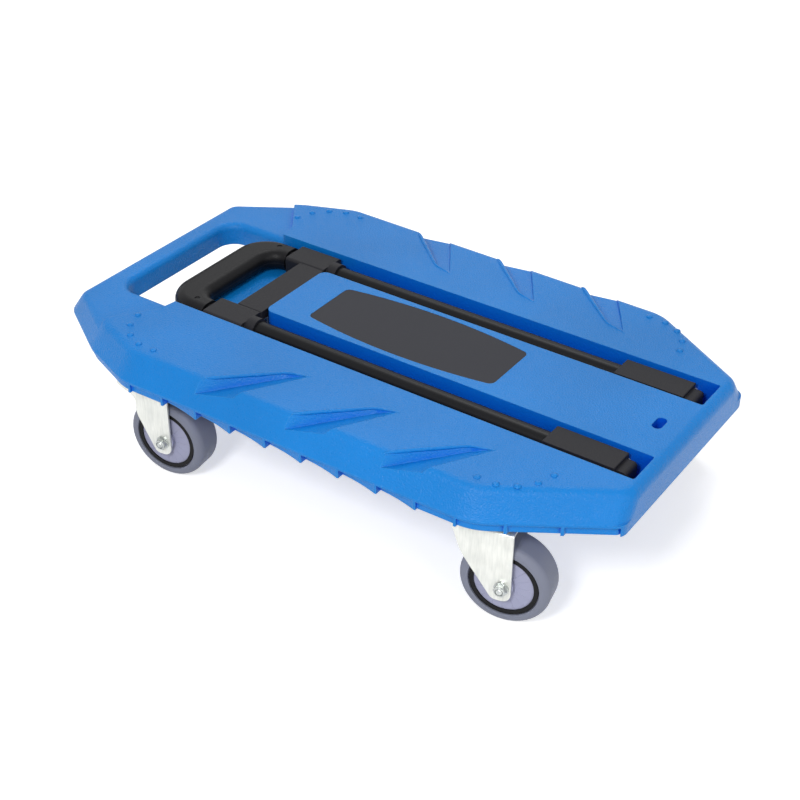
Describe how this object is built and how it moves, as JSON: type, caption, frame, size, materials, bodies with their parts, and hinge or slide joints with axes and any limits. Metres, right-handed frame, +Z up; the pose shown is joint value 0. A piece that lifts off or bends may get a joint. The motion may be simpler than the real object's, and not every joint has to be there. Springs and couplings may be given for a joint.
{
  "type": "folding platform cart",
  "caption": "Blue moulded platform cart with an octagonal deck, a dark telescopic handle folded into the deck and four grey swivel casters.",
  "frame": {"origin": "on the floor, below the centre of the deck", "axes": "+X towards the end where the handle is hinged, +Y to the left side, +Z up"},
  "size_m": [0.776, 0.4834, 0.1812],
  "materials": {
    "deck_plastic": "satin moulded, fine grain",
    "label_vinyl": "matt",
    "dark_tube": "satin powder coat",
    "dark_plastic": "satin moulded",
    "grip_rubber": "matt",
    "tyre_grey": "satin",
    "hub_plastic": "satin moulded",
    "ring_plastic": "matt",
    "pedal_plastic": "matt",
    "zinc": "bright zinc plated"
  },
  "bodies": {
    "deck": {"deck": "deck_plastic", "label_plate": "label_vinyl", "hinge_pins": "zinc", "kingpins": "zinc", "caster_screws": "zinc", "caster_plate_carry_left": "zinc", "caster_plate_carry_right": "zinc", "caster_plate_hinge_left": "zinc", "caster_plate_hinge_right": "zinc"},
    "handle_frame": {"outer_tube_left": "dark_tube", "outer_tube_right": "dark_tube", "hinge_block_left": "dark_plastic", "hinge_block_right": "dark_plastic", "handle_bridge": "dark_plastic"},
    "handle_grip": {"inner_tube_left": "dark_tube", "inner_tube_right": "dark_tube", "grip_upper": "dark_plastic", "grip_lower": "dark_plastic", "grip_pad": "grip_rubber", "grip_screws": "zinc"},
    "fork_carry_left": {"fork_carry_left": "zinc", "swivel_race_carry_left": "zinc", "axle_bolt_carry_left": "zinc", "axle_nut_carry_left": "zinc", "axle_bush_carry_left": "zinc", "brake_pin_carry_left": "zinc"},
    "wheel_carry_left": {"hub_carry_left": "hub_plastic", "tyre_carry_left": "tyre_grey", "guard_rings_carry_left": "ring_plastic"},
    "brake_carry_left": {"brake_pedal_carry_left": "pedal_plastic"},
    "fork_carry_right": {"fork_carry_right": "zinc", "swivel_race_carry_right": "zinc", "axle_bolt_carry_right": "zinc", "axle_nut_carry_right": "zinc", "axle_bush_carry_right": "zinc", "brake_pin_carry_right": "zinc"},
    "wheel_carry_right": {"hub_carry_right": "hub_plastic", "tyre_carry_right": "tyre_grey", "guard_rings_carry_right": "ring_plastic"},
    "brake_carry_right": {"brake_pedal_carry_right": "pedal_plastic"},
    "fork_hinge_left": {"fork_hinge_left": "zinc", "swivel_race_hinge_left": "zinc", "axle_bolt_hinge_left": "zinc", "axle_nut_hinge_left": "zinc", "axle_bush_hinge_left": "zinc"},
    "wheel_hinge_left": {"hub_hinge_left": "hub_plastic", "tyre_hinge_left": "tyre_grey", "guard_rings_hinge_left": "ring_plastic"},
    "fork_hinge_right": {"fork_hinge_right": "zinc", "swivel_race_hinge_right": "zinc", "axle_bolt_hinge_right": "zinc", "axle_nut_hinge_right": "zinc", "axle_bush_hinge_right": "zinc"},
    "wheel_hinge_right": {"hub_hinge_right": "hub_plastic", "tyre_hinge_right": "tyre_grey", "guard_rings_hinge_right": "ring_plastic"}
  },
  "joints": [
    {"name": "handle_fold", "type": "hinge", "parent": "deck", "child": "handle_frame", "pos_m": [0.345, 0, 0.161], "axis": [0, 1, 0], "range_deg": [0, 90]},
    {"name": "handle_extend", "type": "slide", "parent": "handle_frame", "child": "handle_grip", "axis": [-1, 0, 0], "range_m": [0, 0.315]},
    {"name": "swivel_carry_left", "type": "hinge", "parent": "deck", "child": "fork_carry_left", "pos_m": [-0.231, 0.191, 0.1288], "axis": [0, 0, 1], "continuous": true},
    {"name": "spin_carry_left", "type": "hinge", "parent": "fork_carry_left", "child": "wheel_carry_left", "pos_m": [-0.19613, 0.18795, 0.052], "axis": [0.0872, 0.9962, 0], "continuous": true},
    {"name": "brake_carry_left", "type": "hinge", "parent": "fork_carry_left", "child": "brake_carry_left", "pos_m": [-0.19215, 0.1876, 0.115], "axis": [0.0872, 0.9962, 0], "range_deg": [0, 8]},
    {"name": "swivel_carry_right", "type": "hinge", "parent": "deck", "child": "fork_carry_right", "pos_m": [-0.231, -0.191, 0.1288], "axis": [0, 0, 1], "continuous": true},
    {"name": "spin_carry_right", "type": "hinge", "parent": "fork_carry_right", "child": "wheel_carry_right", "pos_m": [-0.19626, -0.18674, 0.052], "axis": [-0.1219, 0.9925, 0], "continuous": true},
    {"name": "brake_carry_right", "type": "hinge", "parent": "fork_carry_right", "child": "brake_carry_right", "pos_m": [-0.19229, -0.18625, 0.115], "axis": [-0.1219, 0.9925, 0], "range_deg": [0, 8]},
    {"name": "swivel_hinge_left", "type": "hinge", "parent": "deck", "child": "fork_hinge_left", "pos_m": [0.241, 0.186, 0.1288], "axis": [0, 0, 1], "continuous": true},
    {"name": "spin_hinge_left", "type": "hinge", "parent": "fork_hinge_left", "child": "wheel_hinge_left", "pos_m": [0.27592, 0.18844, 0.052], "axis": [-0.0698, 0.9976, 0], "continuous": true},
    {"name": "swivel_hinge_right", "type": "hinge", "parent": "deck", "child": "fork_hinge_right", "pos_m": [0.241, -0.186, 0.1288], "axis": [0, 0, 1], "continuous": true},
    {"name": "spin_hinge_right", "type": "hinge", "parent": "fork_hinge_right", "child": "wheel_hinge_right", "pos_m": [0.27533, -0.1792, 0.052], "axis": [-0.1942, 0.981, 0], "continuous": true}
  ],
  "couplings": [
    {"joint": "handle_extend", "follows": "handle_fold", "m_per_rad": 0.2}
  ]
}
